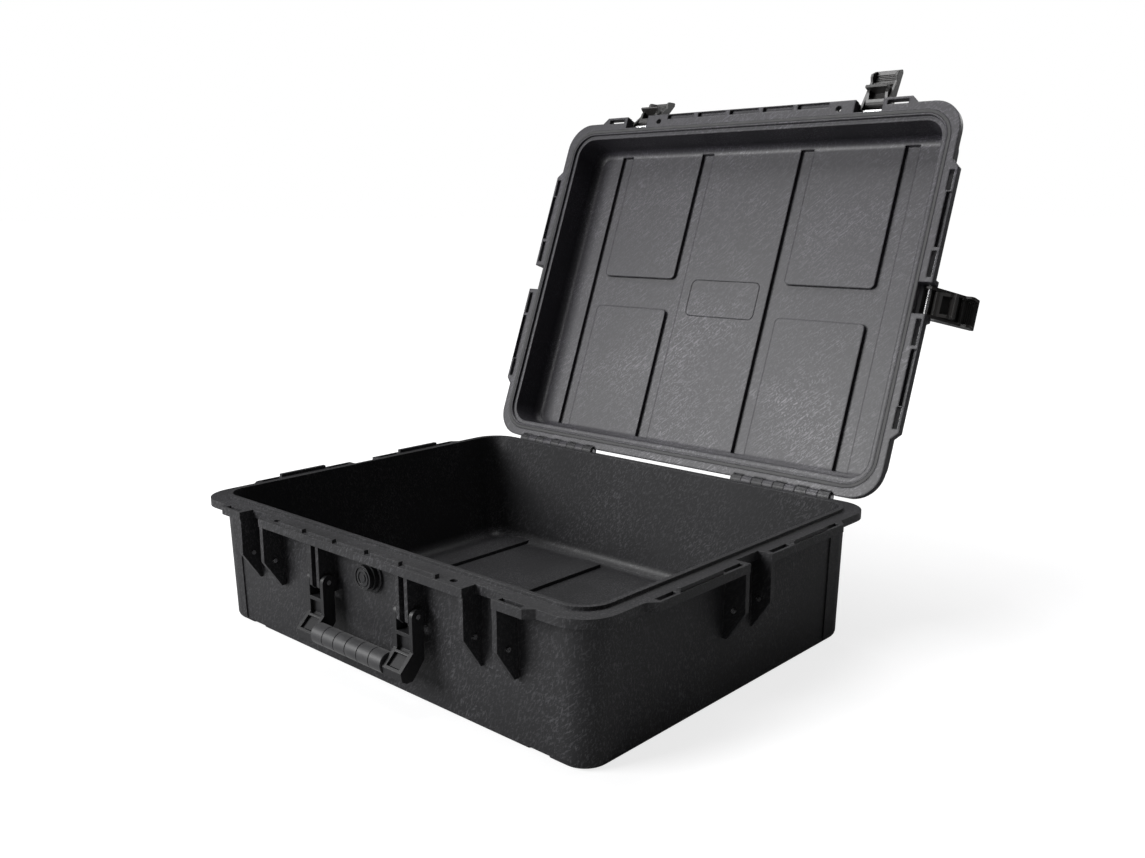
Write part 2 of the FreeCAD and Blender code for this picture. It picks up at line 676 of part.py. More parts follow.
def make_lid_shell():
    body = new_body("lid_shell")
    lean = D.lid_draft
    z = (LID_FACE, LID_TOP)
    drafted_slab(body, "pan", (TUB_X, TUB_Y), D.tub_corner, z, -lean)
    round_edges(body, "top_edge", D.lid_outer_round, level_at(LID_TOP))
    round_slab(body, "rim", (RIM_X, RIM_Y), D.rim_corner, (LID_FACE, LID_RIM_TOP))
    half = (CAVITY_X - lean, CAVITY_Y - lean)
    z = (LID_FACE, LID_CEILING)
    drafted_slab(body, "cavity", half, CAVITY_CORNER - lean, z, lean, cut=True)
    round_edges(body, "ceiling_edge", D.lid_round, level_at(LID_CEILING))
    half = D.rib_wide / 2
    cross = D.cross_rib_wide / 2
    reach = TUB_Y - D.lid_draft - D.lid_outer_round
    above = (LID_TOP - 1, LID_TOP + D.rib_high)
    rib_pattern(body, "rib", half, reach, reach, cross, above)
    hollow = (LID_CEILING - 1, LID_CEILING + D.rib_high)
    half, cross, reach = half - D.rib_wall, cross - D.rib_wall, reach - D.rib_wall - 1
    rib_pattern(body, "channel", half, reach, reach, cross, hollow, cut=True)
    round_edges(body, "panel_corners", D.panel_corner, channel_corner(half, cross))
    rim_beams(body, (LID_FACE, LID_RIM_TOP), "beams")
    pocket = (LID_FACE, RIM_TOP + D.block_high + 1.5)
    locating_blocks(body, pocket, 0.8, "pockets", cut=True)
    beam_slots(body, (LID_FACE - 1, LID_RIM_TOP + 1), "slots")
    padlock_holes(body, (LID_FACE - 1, LID_RIM_TOP + 1), "padlock_holes")
    inside = -(D.rim_reach + D.wall - 2)
    outline = [(inside, LID_FACE), (D.beam_reach - 1, LID_FACE)]
    outline += [(D.beam_reach - 1, LEVER_PIN_Z + 2), (D.beam_reach - 7, LEVER_PIN_Z + 8)]
    outline += [(-D.rim_reach - 1, LEVER_PIN_Z + 20), (inside, LEVER_PIN_Z + 20)]
    z = (LID_FACE, LID_FACE, LID_RIM_TOP, LEVER_PIN_Z + 21)
    latch_brackets(body, outline, z, "latch_rib")
    groove = (CAVITY_X + D.tongue_thick + 0.5, CAVITY_Y + D.tongue_thick + 0.5)
    corner = CAVITY_CORNER + D.tongue_thick + 0.5
    depth = (LID_FACE, TONGUE_TOP + 0.7)
    round_slab(body, "tongue_groove", groove, corner, depth, cut=True)
    inner = (GASKET_INNER_X, GASKET_INNER_Y)
    outer = (GASKET_INNER_X + D.gasket_wide, GASKET_INNER_Y + D.gasket_wide)
    depth = (LID_FACE, LID_FACE + D.gasket_deep)
    ring_slab(body, "gasket_groove", outer, inner, GASKET_CORNER, depth, cut=True)
    lever_bores(body)
    heel = [(RIM_Y - 4, LID_RIM_TOP), (HINGE_Y + 1, LID_RIM_TOP)]
    heel += [(HINGE_Y + D.knuckle / 2 - 0.3, HINGE_Z), (RIM_Y - 4, LID_FACE)]
    gap = (LID_FACE - D.knuckle, LID_RIM_TOP + 1)
    hinge(body, heel, 0, D.hinge_pin / 2 + D.run_clear, gap, "hinge")
    return body


def lever_bores(body):
    """Bores in the lid ribs for the lever pins."""
    centre = (-(RIM_Y - LEVER_PIN_IN), LEVER_PIN_Z)
    x = span_at(0, D.latch_at + RIB_END + 1)
    rods_x(body, "lever_bore_front", [centre], D.latch_pin / 2, x, cut=True)
    centres = [(side * (RIM_X - LEVER_PIN_IN), LEVER_PIN_Z) for side in SIDES]
    y = span_at(0, RIB_END + 1)
    rods_y(body, "lever_bore_ends", centres, D.latch_pin / 2, y, cut=True)


def make_lid_gasket():
    body = new_body("lid_gasket")
    side = 0.2
    inner = (GASKET_INNER_X + side, GASKET_INNER_Y + side)
    outer_step = D.gasket_wide - side
    outer = (GASKET_INNER_X + outer_step, GASKET_INNER_Y + outer_step)
    z = (RIM_TOP + 0.2, LID_FACE + D.gasket_deep)
    ring_slab(body, "gasket", outer, inner, GASKET_CORNER + side, z)
    return body


# --- latches: drawn closed, with the lever pin at the origin -------------------------

LEVER_PIN_IN = size(0.5)
LEVER_HALF = LATCH_HALF - 0.6
LEVER_OUT = -10
HOOK_HALF = LEVER_HALF - D.lever_cheek - 0.35
HOOK_PIN_OUT = -1.5
HOOK_PIN_DOWN = HOOK_PIN_Z - LEVER_PIN_Z
LIP_TOP = RIM_LOW - 0.5 - LEVER_PIN_Z
LIP_LOW = LIP_TOP - 4.5


def make_latch_lever(label):
    """The lever: an outer plate between two cheeks, with a curled bar inside."""
    body = new_body(label)
    inner = LEVER_OUT + D.lever_plate
    end = -D.lever_long
    whole = [(LEVER_OUT, 4), (LEVER_OUT, end + 3), (LEVER_OUT + 2, end)]
    whole += [(inner + 1, end), (2.5, end + 9), (2.5, -49), (-1, -44), (4, -12)]
    whole += [(5.5, 0), (2, 5), (-4, 6)]
    across = span_at(0, LEVER_HALF)
    between = span_at(0, LEVER_HALF - D.lever_cheek)
    profiles_x(body, "outside", [whole], across)
    inside = [(inner, 20), (inner, end + 5), (inner + 2.5, end - 2), (20, end - 2), (20, 20)]
    profiles_x(body, "inside", [inside], between, cut=True)
    curl = [(inner - 1, -39.5), (inner + 3.5, -40), (inner + 5, -42.2)]
    curl += [(inner + 3.5, -44.5), (inner - 1, -46)]
    ribs = [curl]
    for number in range(4):
        low = end + 5 + number * 2.4
        rib = [(inner - 0.5, low), (inner + 1, low + 0.4)]
        ribs.append(rib + [(inner + 1, low + 1.2), (inner - 0.5, low + 1.6)])
    profiles_x(body, "finger_ribs", ribs, span_at(0, LEVER_HALF - 1))
    past = span_at(0, LEVER_HALF + 1)
    rods_x(body, "lever_bore", [(0, 0)], D.latch_pin / 2 + D.run_clear, past, cut=True)
    centre = (HOOK_PIN_OUT, HOOK_PIN_DOWN)
    rods_x(body, "hook_bore", [centre], D.hook_pin / 2, past, cut=True)
    return body


def make_latch_hook(label):
    """The hook: a framed link with a lip that goes under the base rim."""
    body = new_body(label)
    outer = LEVER_OUT + D.lever_plate + 1.2
    half = HOOK_HALF
    reach = D.latch_notch - LEVER_PIN_IN
    whole = [(outer, LIP_LOW), (reach + 4, LIP_LOW), (reach + 5.5, LIP_LOW + 2)]
    whole += [(reach + 5, LIP_TOP), (reach - 1.5, LIP_TOP), (reach - 1.5, LIP_TOP + 4)]
    whole += [(2.5, HOOK_PIN_DOWN - 1), (2, HOOK_PIN_DOWN + 2.5), (-1, HOOK_PIN_DOWN + 4)]
    whole += [(outer + 1, HOOK_PIN_DOWN + 3), (outer, HOOK_PIN_DOWN + 1)]
    profiles_x(body, "outside", [whole], span_at(0, half))
    hollow = [(outer + 3, LIP_TOP), (20, LIP_TOP), (20, HOOK_PIN_DOWN - 4.5)]
    hollow += [(outer + 3, HOOK_PIN_DOWN - 4.5)]
    profiles_x(body, "hollow", [hollow], span_at(0, half - 4), cut=True)
    pane = box((6.5 - half, half - 6.5), (LIP_TOP + 4, HOOK_PIN_DOWN - 5))
    profiles_y(body, "window", [pane], (outer - 1, outer + 1.5), cut=True)
    centre = (HOOK_PIN_OUT, HOOK_PIN_DOWN)
    bore = D.hook_pin / 2 + D.run_clear
    rods_x(body, "bore", [centre], bore, span_at(0, half + 1), cut=True)
    return body


def make_lever_pin(label):
    body = new_body(label)
    rods_x(body, "pin", [(0, 0)], D.latch_pin / 2, span_at(0, RIB_END + 0.4))
    return body


def make_hook_pin(label):
    body = new_body(label)
    centre = (HOOK_PIN_OUT, HOOK_PIN_DOWN)
    rods_x(body, "pin", [centre], D.hook_pin / 2, span_at(0, LEVER_HALF))
    return body


# --- handle --------------------------------------------------------------------------


def make_handle_frame():
    """Two forked arms joined by the bar inside the grip."""
    body = new_body("handle_frame")
    bar = D.handle_at - D.arm_wide / 2
    centre = (GRIP_Y, D.grip_height)
    rods_x(body, "core_bar", [centre], D.grip_core / 2, (-bar - 2, bar + 2))
    front = -(RIM_Y + 2.5)
    back = HANDLE_PIN_Y + 6
    top = D.handle_pivot_height - 17
    lower = [(front, top), (front, D.grip_height + 16), (GRIP_Y - 9, D.grip_height)]
    lower += [(GRIP_Y - 7, D.grip_height - 9), (GRIP_Y - 2, D.grip_height - 12)]
    lower += [(GRIP_Y + 6, D.grip_height - 12), (back, D.grip_height + 6), (back, top)]
    tine = [(front, D.handle_pivot_height), (front, top - 2), (back, top - 2)]
    tine += [(back + 1, D.handle_pivot_height)]
    pivot = (HANDLE_PIN_Y, D.handle_pivot_height)
    for side in SIDES:
        x = span_at(side * D.handle_at, D.arm_wide / 2)
        profiles_x(body, "arm_%d" % (side + 1), [lower], x)
        for edge in SIDES:
            middle = side * D.handle_at + edge * (D.arm_wide / 2 - D.tine_thick / 2)
            x = span_at(middle, D.tine_thick / 2)
            label = "tine_%d%d" % (side + 1, edge + 1)
            profiles_x(body, label, [tine], x)
            rods_x(body, label + "_eye", [pivot], 8, x)
        x = span_at(side * D.handle_at, D.arm_wide / 2 - D.tine_thick)
        recess = [(front - 1, top - 4), (front - 1, D.grip_height + 14)]
        recess += [(GRIP_Y - 11, D.grip_height + 4), (GRIP_Y - 4, D.grip_height + 1)]
        recess += [(front + 4.5, D.grip_height + 15), (front + 4.5, top - 4)]
        profiles_x(body, "recess_%d" % (side + 1), [recess], x, cut=True)
        half = D.arm_wide / 2 + 1
        x = span_at(side * D.handle_at, half)
        bore = D.handle_pin / 2 + D.run_clear
        rods_x(body, "bore_%d" % (side + 1), [pivot], bore, x, cut=True)
    return body


def make_handle_grip():
    """A rubber sleeve in ringed segments on the bar of the handle."""
    body = new_body("handle_grip")
    half = D.handle_at - D.arm_wide / 2
    centre = (GRIP_Y, D.grip_height)
    segments = 6
    pitch = 2 * half / segments
    rods_x(body, "sleeve", [centre], D.grip_diameter / 2 - 0.8, (-half, half))
    for number in range(segments):
        start = number * pitch - half + 0.5
        x = (start, start + pitch - 1)
        rods_x(body, "segment_%d" % number, [centre], D.grip_diameter / 2, x)
    rods_x(body, "bore", [centre], D.grip_core / 2, (-half - 1, half + 1), cut=True)
    return body


# --- pressure valve --------------------------------------------------------------------

VALVE_CENTRE = (0, D.valve_height)


def make_valve_body():
    body = new_body("valve_body")
    seat = VALVE_SEAT
    rods_y(body, "flange", [VALVE_CENTRE], D.valve_diameter / 2, (seat - 5, seat))
    rods_y(body, "stem", [VALVE_CENTRE], D.valve_stem / 2, (seat - 1, VALVE_INNER + 7))
    ring = D.valve_stem / 2 + 2.4
    rods_y(body, "bore", [VALVE_CENTRE], D.valve_stem / 2 - 2.5, (seat - 6, VALVE_INNER + 8), cut=True)
    rods_y(body, "seal_groove", [VALVE_CENTRE], ring, (seat - 1.4, seat), cut=True)
    rods_y(body, "stem_again", [VALVE_CENTRE], D.valve_stem / 2, (seat - 1.5, seat + 1))
    rods_y(body, "bore_again", [VALVE_CENTRE], D.valve_stem / 2 - 2.5, (seat - 2, seat + 2), cut=True)
    return body


def make_valve_seal():
    body = new_body("valve_seal")
    seat = VALVE_SEAT
    ring = D.valve_stem / 2 + 2.4
    rods_y(body, "ring", [VALVE_CENTRE], ring, (seat - 1.4, seat))
    rods_y(body, "ring_bore", [VALVE_CENTRE], D.valve_stem / 2, (seat - 2, seat + 1), cut=True)
    return body


def make_valve_cap():
    """The ringed cap that shields the vent, with a gap all round to breathe."""
    body = new_body("valve_cap")
    face = VALVE_SEAT - 5
    rim = D.valve_diameter / 2 - 2
    rods_y(body, "cap", [VALVE_CENTRE], rim, (face - 5, face))
    rods_y(body, "hollow", [VALVE_CENTRE], rim - 2.5, (face - 3, face + 1), cut=True)
    rods_y(body, "ring_groove", [VALVE_CENTRE], rim - 2, (face - 6, face - 3.8), cut=True)
    rods_y(body, "ring", [VALVE_CENTRE], rim - 4, (face - 5, face - 3.5))
    rods_y(body, "dimple", [VALVE_CENTRE], rim - 6.5, (face - 6, face - 4), cut=True)
    rods_y(body, "button", [VALVE_CENTRE], rim - 8.5, (face - 5, face - 3.5))
    return body


def make_valve_membrane():
    body = new_body("valve_membrane")
    face = VALVE_SEAT - 5
    rods_y(body, "disc", [VALVE_CENTRE], D.valve_diameter / 2 - 4.5, (face - 0.6, face))
    return body


def make_valve_nut():
    body = new_body("valve_nut")
    corners = []
    flat = D.valve_stem / 2 + 4
    for u, v in ((1, 0.58), (0, 1.155), (-1, 0.58), (-1, -0.58), (0, -1.155), (1, -0.58)):
        corners.append((u * flat, D.valve_height + v * flat))
    profiles_y(body, "nut", [corners], (VALVE_INNER, VALVE_INNER + 5))
    hole = (VALVE_INNER - 1, VALVE_INNER + 6)
    rods_y(body, "thread", [VALVE_CENTRE], D.valve_stem / 2, hole, cut=True)
    return body


# --- assembly ------------------------------------------------------------------------


def number(value):
    return size(value).value


def turn_about_x(angle, y, z):
    """A turn about a line along X: positive lifts the front and swings it back."""
    turn = FreeCAD.Rotation(FreeCAD.Vector(1, 0, 0), -angle)
    return FreeCAD.Placement(FreeCAD.Vector(0, 0, 0), turn, FreeCAD.Vector(0, y, z))


LID_OPEN = turn_about_x(number(D.open_angle), number(HINGE_Y), number(HINGE_Z))

# Each latch: name, place of its lever pin, turn about Z, and how far its lever
# stands out from the closed position.
LATCHES = [
    ("front_left", (-D.latch_at, -(RIM_Y - LEVER_PIN_IN)), 0, 118),
    ("front_right", (D.latch_at, -(RIM_Y - LEVER_PIN_IN)), 0, 97),
    ("end_right", (RIM_X - LEVER_PIN_IN, 0), 90, 132),
    ("end_left", (-(RIM_X - LEVER_PIN_IN), 0), -90, 168),
]


def latch_placement(place, heading, swing):
    at = FreeCAD.Vector(number(place[0]), number(place[1]), number(LEVER_PIN_Z))
    turn = FreeCAD.Rotation(FreeCAD.Vector(0, 0, 1), heading)
    stand = FreeCAD.Placement(at, turn)
    return LID_OPEN.multiply(stand).multiply(turn_about_x(swing, 0, 0))


def build():
    nodes = [make_base_shell()]
    half = D.latch_rib / 2 + D.catch_proud
    nodes.append(make_pins("catch_pins", catch_places(), D.catch_pin / 2, half, D.catch_height))
    nodes.append(make_hinge_pin(-1, "hinge_pin_left"))
    nodes.append(make_hinge_pin(1, "hinge_pin_right"))
    for make in (make_lid_shell, make_lid_gasket):
        piece = make()
        piece.Placement = LID_OPEN
        nodes.append(piece)
    for name, place, heading, swing in LATCHES:
        for make, what in (
            (make_latch_lever, "lever"),
            (make_latch_hook, "hook"),
            (make_lever_pin, "lever_pin"),
            (make_hook_pin, "hook_pin"),
        ):
            piece = make("%s_%s" % (name, what))
            piece.Placement = latch_placement(place, heading, swing)
            nodes.append(piece)
    nodes.append(make_handle_frame())
    nodes.append(make_handle_grip())
    arms = [("x", side * D.handle_at, HANDLE_PIN_Y) for side in SIDES]
    half = D.arm_wide / 2
    pivot = D.handle_pivot_height
    nodes.append(make_pins("handle_pins", arms, D.handle_pin / 2, half, pivot))
    nodes.append(make_valve_body())
    nodes.append(make_valve_seal())
    nodes.append(make_valve_cap())
    nodes.append(make_valve_membrane())
    nodes.append(make_valve_nut())
    return nodes


nodes = build()
doc.recompute()

faults = []
for item in doc.Objects:
    if "Invalid" in item.State or "Error" in item.State:
        faults.append("%s: %s" % (item.Label, item.getStatusString()))
if faults:
    raise SystemExit("\n".join(faults))

os.makedirs("parts", exist_ok=True)
for node in nodes:
    if node.Shape.isNull() or not node.Shape.isValid():
        raise SystemExit("%s has no valid shape" % node.Label)
    node.Shape.exportStep("parts/%s.step" % node.Label)
    print(node.Label, len(node.Shape.Solids), round(node.Shape.Volume))
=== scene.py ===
# %% [markdown]
# # A hard protective case, standing open
#
# The case arrives as a finished set of solid pieces. This script gives every
# piece its surface, adds the fine mouldings that are too small for the solid
# model, and lights the whole thing as for a catalogue page.
#
# We load the pieces, build the surfaces, add the fine moulding inside the
# lid, then light the case, lay a floor and place the camera.

# %% load the pieces
import json
import math

import bmesh
import bpy
from mathutils import Matrix, Vector


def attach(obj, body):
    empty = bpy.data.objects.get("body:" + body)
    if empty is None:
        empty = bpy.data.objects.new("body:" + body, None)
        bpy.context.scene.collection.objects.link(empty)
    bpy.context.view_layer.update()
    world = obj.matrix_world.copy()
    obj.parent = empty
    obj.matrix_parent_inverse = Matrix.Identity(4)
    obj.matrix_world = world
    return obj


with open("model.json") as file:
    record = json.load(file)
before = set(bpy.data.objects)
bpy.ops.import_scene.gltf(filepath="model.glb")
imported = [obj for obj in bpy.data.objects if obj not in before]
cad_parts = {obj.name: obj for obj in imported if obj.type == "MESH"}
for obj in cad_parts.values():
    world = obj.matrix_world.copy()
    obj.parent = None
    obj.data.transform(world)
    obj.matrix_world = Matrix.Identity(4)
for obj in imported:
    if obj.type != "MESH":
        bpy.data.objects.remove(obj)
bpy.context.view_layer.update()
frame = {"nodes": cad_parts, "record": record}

# %% [markdown]
# ## Step 1: a small kit for building materials
#
# A material is a graph of nodes. Writing `tree.nodes.new(...)` and
# `tree.links.new(...)` over and over hides what the graph does, so we wrap
# them in a class that reads like the sentence "make this node with these
# inputs". An input can be a plain value or another node's output.

# %% a kit for node graphs


class Graph:
    """Builds the nodes of one material."""

    def __init__(self, name):
        self.material = bpy.data.materials.new(name)
        self.material.use_nodes = True
        self.tree = self.material.node_tree
        self.tree.nodes.clear()

    def node(self, kind, settings=None, **inputs):
        made = self.tree.nodes.new(kind)
        for key, value in (settings or {}).items():
            setattr(made, key, value)
        for key, value in inputs.items():
            self.plug(made.inputs[key.replace("_", " ")], value)
        return made

    def plug(self, socket, value):
        if isinstance(value, bpy.types.NodeSocket):
            self.tree.links.new(value, socket)
        else:
            socket.default_value = value

    def math(self, operation, first, second=0.5):
        made = self.tree.nodes.new("ShaderNodeMath")
        made.operation = operation
        self.plug(made.inputs[0], first)
        self.plug(made.inputs[1], second)
        return made.outputs[0]

    def spread(self, value, low, high, to_low=0.0, to_high=1.0):
        """Map a value from one range to another and clamp it."""
        made = self.tree.nodes.new("ShaderNodeMapRange")
        self.plug(made.inputs["Value"], value)
        self.plug(made.inputs["From Min"], low)
        self.plug(made.inputs["From Max"], high)
        self.plug(made.inputs["To Min"], to_low)
        self.plug(made.inputs["To Max"], to_high)
        return made.outputs["Result"]

    def mix(self, amount, first, second):
        made = self.tree.nodes.new("ShaderNodeMix")
        made.data_type = "RGBA"
        self.plug(made.inputs["Factor"], amount)
        self.plug(made.inputs["A"], first)
        self.plug(made.inputs["B"], second)
        return made.outputs["Result"]

    def noise(self, place, scale, detail=2.0, rough=0.5):
        made = self.node("ShaderNodeTexNoise", None, Vector=place, Scale=scale,
                         Detail=detail, Roughness=rough)
        return made.outputs["Fac"]

    def finish(self, shader):
        out = self.tree.nodes.new("ShaderNodeOutputMaterial")
        self.tree.links.new(shader, out.inputs["Surface"])
        return self.material


# %% [markdown]
# ## Step 2: the moulded plastic
#
# Cheap black plastic is never plain black. This one is moulded in a mould that
# was brushed by hand, so short pale scratches run over it in patches. Three
# things make it:
#
# * **scratches**: noise squeezed hard along a slanted direction;
# * **patches**: slow noise that decides where the scratches show;
# * **grain**: fast noise that only moves the surface normal.
#
# The Bevel node rounds the look of every sharp edge, so that edges catch a thin
# line of light. It rounds most of them by a fraction of a millimetre, and the
# panels inside the lid by 3 mm, because they are moulded with soft edges.

# %% moulded plastic


def scratches(graph, place, turn, thin, along):
    """Streaks that run along one slanted direction."""
    mapping = graph.node("ShaderNodeMapping", {"vector_type": "TEXTURE"}, Vector=place)
    mapping.inputs["Rotation"].default_value = [math.radians(part) for part in turn]
    mapping.inputs["Scale"].default_value = (1 / along, 1 / thin, 1 / thin)
    return graph.noise(mapping.outputs["Vector"], 1.0, 3.0, 0.6)


def moulded_plastic(
    name, dark, pale, rough, streaks=1.0, grain=1.0, edge=0.0007, gleam=0.4
):
    """Black plastic with slanted pale scratches, a fine grain and softened edges."""
    graph = Graph(name)
    place = graph.node("ShaderNodeTexCoord").outputs["Object"]
    one = scratches(graph, place, (0, -38, 18), 620, 80)
    other = scratches(graph, place, (0, -62, -30), 520, 75)
    both = graph.math("MAXIMUM", one, other)
    lines = graph.spread(both, 0.54, 0.68)
    patch = graph.spread(graph.noise(place, 9.0, 3.0), 0.38, 0.68)
    strength = graph.spread(patch, 0.0, 1.0, 0.25, 1.0)
    marks = graph.math("MULTIPLY", lines, strength)
    marks = graph.math("MULTIPLY", marks, streaks)
    cloud = graph.spread(graph.noise(place, 3.2, 4.0), 0.3, 0.7)
    fine = graph.noise(place, 1400.0, 2.0, 0.6)
    coarse = graph.noise(place, 420.0, 2.0, 0.5)

    colour = graph.mix(graph.math("MULTIPLY", marks, 0.9), (*dark, 1), (*pale, 1))
    worn = graph.math("MULTIPLY", cloud, 0.12)
    colour = graph.mix(worn, colour, (*pale, 1))
    shine = graph.math("MULTIPLY", marks, 0.14)
    shine = graph.math("SUBTRACT", rough, shine)
    shine = graph.math("ADD", shine, graph.math("MULTIPLY", cloud, 0.06))

    edges = graph.node("ShaderNodeBevel", {"samples": 4}, Radius=edge)
    height = graph.math("ADD", graph.math("MULTIPLY", fine, 0.5),
                        graph.math("MULTIPLY", coarse, 0.5))
    height = graph.math("ADD", height, graph.math("MULTIPLY", marks, 0.6))
    bump = graph.node("ShaderNodeBump", None, Strength=0.32 * grain, Distance=0.00022,
                      Height=height, Normal=edges.outputs[0])
    shader = graph.node("ShaderNodeBsdfPrincipled", None, Base_Color=colour,
                        Roughness=shine, Normal=bump.outputs[0])
    shader.inputs["Specular IOR Level"].default_value = gleam
    return graph.finish(shader.outputs[0])


shell_plastic = moulded_plastic(
    "shell_plastic", (0.009, 0.009, 0.010), (0.085, 0.084, 0.090), 0.46
)
lid_plastic = moulded_plastic(
    "lid_plastic", (0.013, 0.0125, 0.0155), (0.094, 0.088, 0.106), 0.44,
    edge=0.0030, gleam=0.5,
)
fitting_plastic = moulded_plastic(
    "fitting_plastic", (0.009, 0.009, 0.010), (0.045, 0.045, 0.048), 0.40,
    streaks=0.35, grain=0.7,
)
latch_plastic = moulded_plastic(
    "latch_plastic", (0.013, 0.012, 0.0115), (0.060, 0.056, 0.054), 0.38,
    streaks=0.3, grain=0.6, gleam=0.6,
)
print("plastics:", shell_plastic.name, fitting_plastic.name, latch_plastic.name)

# %% [markdown]
# ## Step 3: rubber, steel and the vent film
#
# Rubber is darker and softer looking than plastic, so it gets a high
# roughness, a little sheen and no scratches. The pins are turned steel: very
# fine rings run round them, which we get from a wave texture.

# %% rubber, steel and film


def soft_rubber(name, colour, rough):
    """Dull rubber with dust and tiny pores."""
    graph = Graph(name)
    place = graph.node("ShaderNodeTexCoord").outputs["Object"]
    dust = graph.spread(graph.noise(place, 60.0, 4.0), 0.45, 0.75)
    pores = graph.noise(place, 1900.0, 2.0)
    dusty = graph.math("MULTIPLY", dust, 0.35)
    tint = graph.mix(dusty, (*colour, 1), (0.07, 0.07, 0.072, 1))
    edges = graph.node("ShaderNodeBevel", {"samples": 4}, Radius=0.0006)
    bump = graph.node("ShaderNodeBump", None, Strength=0.25, Distance=0.00015,
                      Height=pores, Normal=edges.outputs[0])
    shine = graph.math("ADD", rough, graph.math("MULTIPLY", dust, 0.1))
    shader = graph.node("ShaderNodeBsdfPrincipled", None, Base_Color=tint,
                        Roughness=shine, Normal=bump.outputs[0])
    shader.inputs["Sheen Weight"].default_value = 0.12
    return graph.finish(shader.outputs[0])


def turned_steel(name):
    """Bright steel with turning marks and faint stains."""
    graph = Graph(name)
    place = graph.node("ShaderNodeTexCoord").outputs["Object"]
    rings = graph.node(
        "ShaderNodeTexWave", None, Vector=place, Scale=900.0, Distortion=1.5
    )
    stain = graph.spread(graph.noise(place, 300.0, 3.0), 0.4, 0.7)
    stained = graph.math("MULTIPLY", stain, 0.4)
    tint = graph.mix(stained, (0.62, 0.62, 0.63, 1), (0.36, 0.35, 0.34, 1))
    bump = graph.node("ShaderNodeBump", None, Strength=0.2, Distance=0.0001,
                      Height=rings.outputs["Fac"])
    shine = graph.math("ADD", 0.24, graph.math("MULTIPLY", stain, 0.15))
    shader = graph.node("ShaderNodeBsdfPrincipled", None, Base_Color=tint,
                        Roughness=shine, Normal=bump.outputs[0])
    shader.inputs["Metallic"].default_value = 1.0
    return graph.finish(shader.outputs[0])


def vent_film(name):
    """White woven film."""
    graph = Graph(name)
    place = graph.node("ShaderNodeTexCoord").outputs["Object"]
    threads = graph.noise(place, 2500.0, 3.0)
    tint = graph.mix(threads, (0.55, 0.55, 0.54, 1), (0.8, 0.8, 0.78, 1))
    bump = graph.node(
        "ShaderNodeBump", None, Strength=0.4, Distance=0.0001, Height=threads
    )
    shader = graph.node("ShaderNodeBsdfPrincipled", None, Base_Color=tint,
                        Normal=bump.outputs[0])
    shader.inputs["Roughness"].default_value = 0.85
    return graph.finish(shader.outputs[0])


gasket_rubber = soft_rubber("gasket_rubber", (0.010, 0.010, 0.011), 0.55)
grip_rubber = soft_rubber("grip_rubber", (0.022, 0.022, 0.024), 0.48)
pin_steel = turned_steel("pin_steel")
film = vent_film("vent_film")

# %% [markdown]
# ## Step 4: dress every solid piece
#
# The record says which finish each solid piece has. We look that up and swap
# the plain colour for one of our materials.

# %% dress the pieces
FINISHES = {
    "shell": shell_plastic,
    "fitting": fitting_plastic,
    "latch": latch_plastic,
    "grip": grip_rubber,
    "gasket": gasket_rubber,
    "membrane": film,
    "pin": pin_steel,
}
for part in frame["record"]["subparts"]:
    piece = frame["nodes"][part["node"]]
    piece.data.materials.clear()
    piece.data.materials.append(FINISHES[part["material_slot"]])
frame["nodes"]["lid_shell"].data.materials.clear()
frame["nodes"]["lid_shell"].data.materials.append(lid_plastic)

# %% [markdown]
# ## Step 5: the small raised frame inside the lid
#
# In the middle of the lid's inside there is a faint raised outline, an empty
# frame with rounded corners. It is less than a millimetre high, so we sweep a
# thin eight-sided line round it. We write its points as they lie in the closed
# lid, then swing them open with the lid, about the hinge line.

# %% raised frame in the lid
HINGE = Vector((0, 0.247, 0.15075))
OPENED = Matrix.Rotation(math.radians(-110.9), 4, "X")
LID_CEILING = 0.202
CORNER_STEPS = 6
LINE_SIDES = 8


def swung_open(point):
    """Where a point of the closed lid goes when the lid stands open."""
    return HINGE + OPENED @ (Vector(point) - HINGE)


def rounded_outline(half_x, half_y, corner, middle_y):
    """Points round a rectangle with rounded corners, on the closed lid's ceiling."""
    points = []
    for quarter, (sx, sy) in enumerate(((1, 1), (-1, 1), (-1, -1), (1, -1))):
        for step in range(CORNER_STEPS + 1):
            angle = math.radians(quarter * 90 + step * 90 / CORNER_STEPS)
            x = sx * (half_x - corner) + corner * math.cos(angle)
            y = sy * (half_y - corner) + corner * math.sin(angle)
            points.append(Vector((x, middle_y + y, LID_CEILING)))
    return points


def raised_line(name, points, thick):
    """Sweep a small flattened ring along a closed row of points."""
    form = bmesh.new()
    rings = []
    for number, point in enumerate(points):
        ahead = points[(number + 1) % len(points)] - points[number - 1]
        side = ahead.normalized().cross(Vector((0, 0, 1)))
        ring = []
        for step in range(LINE_SIDES):
            angle = math.radians(step * 360 / LINE_SIDES)
            offset = side * math.cos(angle) * 2 + Vector((0, 0, 1)) * math.sin(angle)
            ring.append(form.verts.new(swung_open(point + offset * thick)))
        rings.append(ring)
    for number, ring in enumerate(rings):
        before = rings[number - 1]
        for step in range(LINE_SIDES):
            after = (step + 1) % LINE_SIDES
            form.faces.new((before[step], before[after], ring[after], ring[step]))
    bmesh.ops.recalc_face_normals(form, faces=form.faces)
    mesh = bpy.data.meshes.new(name)
    form.to_mesh(mesh)
    form.free()
    line = bpy.data.objects.new(name, mesh)
    bpy.context.scene.collection.objects.link(line)
    line.data.materials.append(lid_plastic)
    return line


outline = rounded_outline(half_x=0.056, half_y=0.026, corner=0.008, middle_y=0.003)
label_frame = raised_line("lid_label_frame", outline, thick=0.0004)
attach(label_frame, "lid")
print("raised frame:", len(label_frame.data.vertices), "points")

